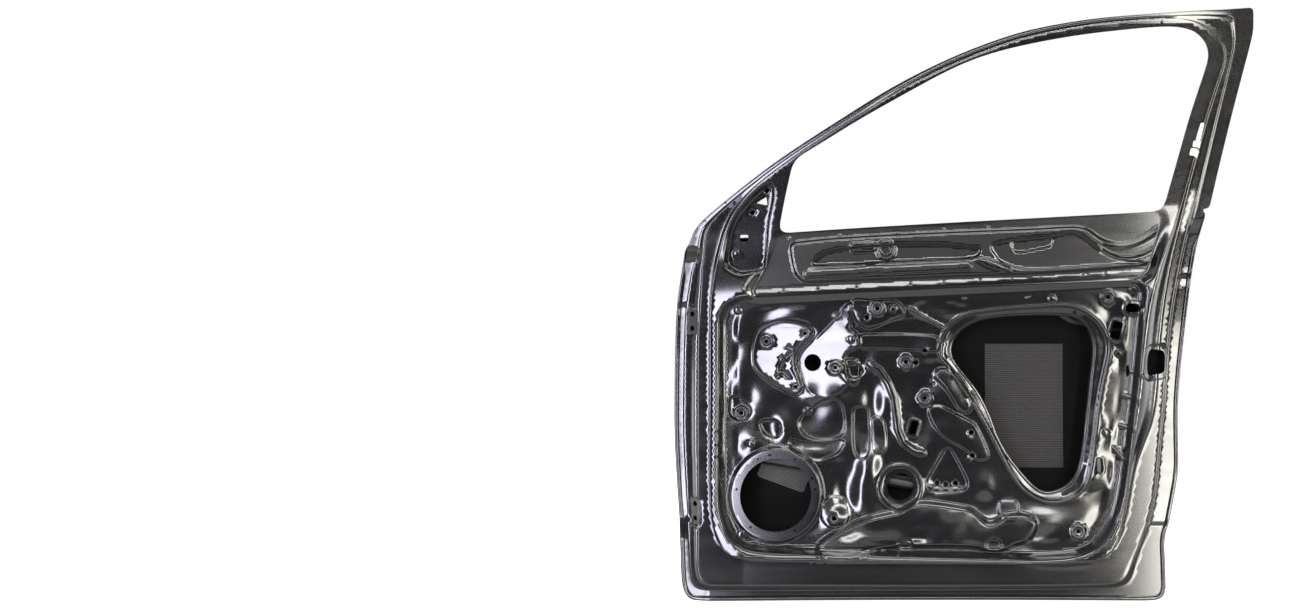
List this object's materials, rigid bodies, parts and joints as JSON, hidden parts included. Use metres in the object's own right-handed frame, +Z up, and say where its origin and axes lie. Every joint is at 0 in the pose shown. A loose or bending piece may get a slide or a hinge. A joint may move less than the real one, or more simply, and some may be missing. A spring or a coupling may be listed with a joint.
{
  "type": "car door shell",
  "caption": "Bare right front door of a car: skin hemmed round a pressed inner panel, with its window frame.",
  "frame": {"origin": "centre of the upper hinge pad on the front wall, on its outside face", "axes": "+X from the hinge edge to the latch edge, +Y out of the car through the skin, +Z up"},
  "size_m": [1.1753, 0.2035, 1.1829],
  "materials": {
    "dip_coat": "semi-gloss black dip coat on pressed steel",
    "brace_coat": "semi-gloss black dip coat on thick steel",
    "damping_pad": "matt ribbed damping pad",
    "mastic": "matt mastic",
    "nut_steel": "black dip coat on steel nuts"
  },
  "bodies": {
    "root": {"outer_panel": "dip_coat", "inner_panel": "dip_coat", "inner_belt_panel": "dip_coat", "header_outer": "dip_coat", "pillar_outer": "dip_coat", "mirror_plate": "dip_coat", "outer_belt_rail": "brace_coat", "impact_beam": "brace_coat", "beam_bracket_front": "brace_coat", "beam_bracket_rear": "brace_coat", "beam_mastic_1": "mastic", "beam_mastic_2": "mastic", "beam_mastic_3": "mastic", "upper_hinge_plate": "brace_coat", "lower_hinge_plate": "brace_coat", "latch_plate": "brace_coat", "handle_reinforcement": "brace_coat", "skin_pad_rear": "damping_pad", "skin_pad_front": "damping_pad", "weld_nut_01": "nut_steel", "weld_nut_02": "nut_steel", "weld_nut_03": "nut_steel", "weld_nut_04": "nut_steel", "weld_nut_05": "nut_steel", "weld_nut_06": "nut_steel", "weld_nut_07": "nut_steel", "weld_nut_08": "nut_steel"}
  },
  "joints": []
}
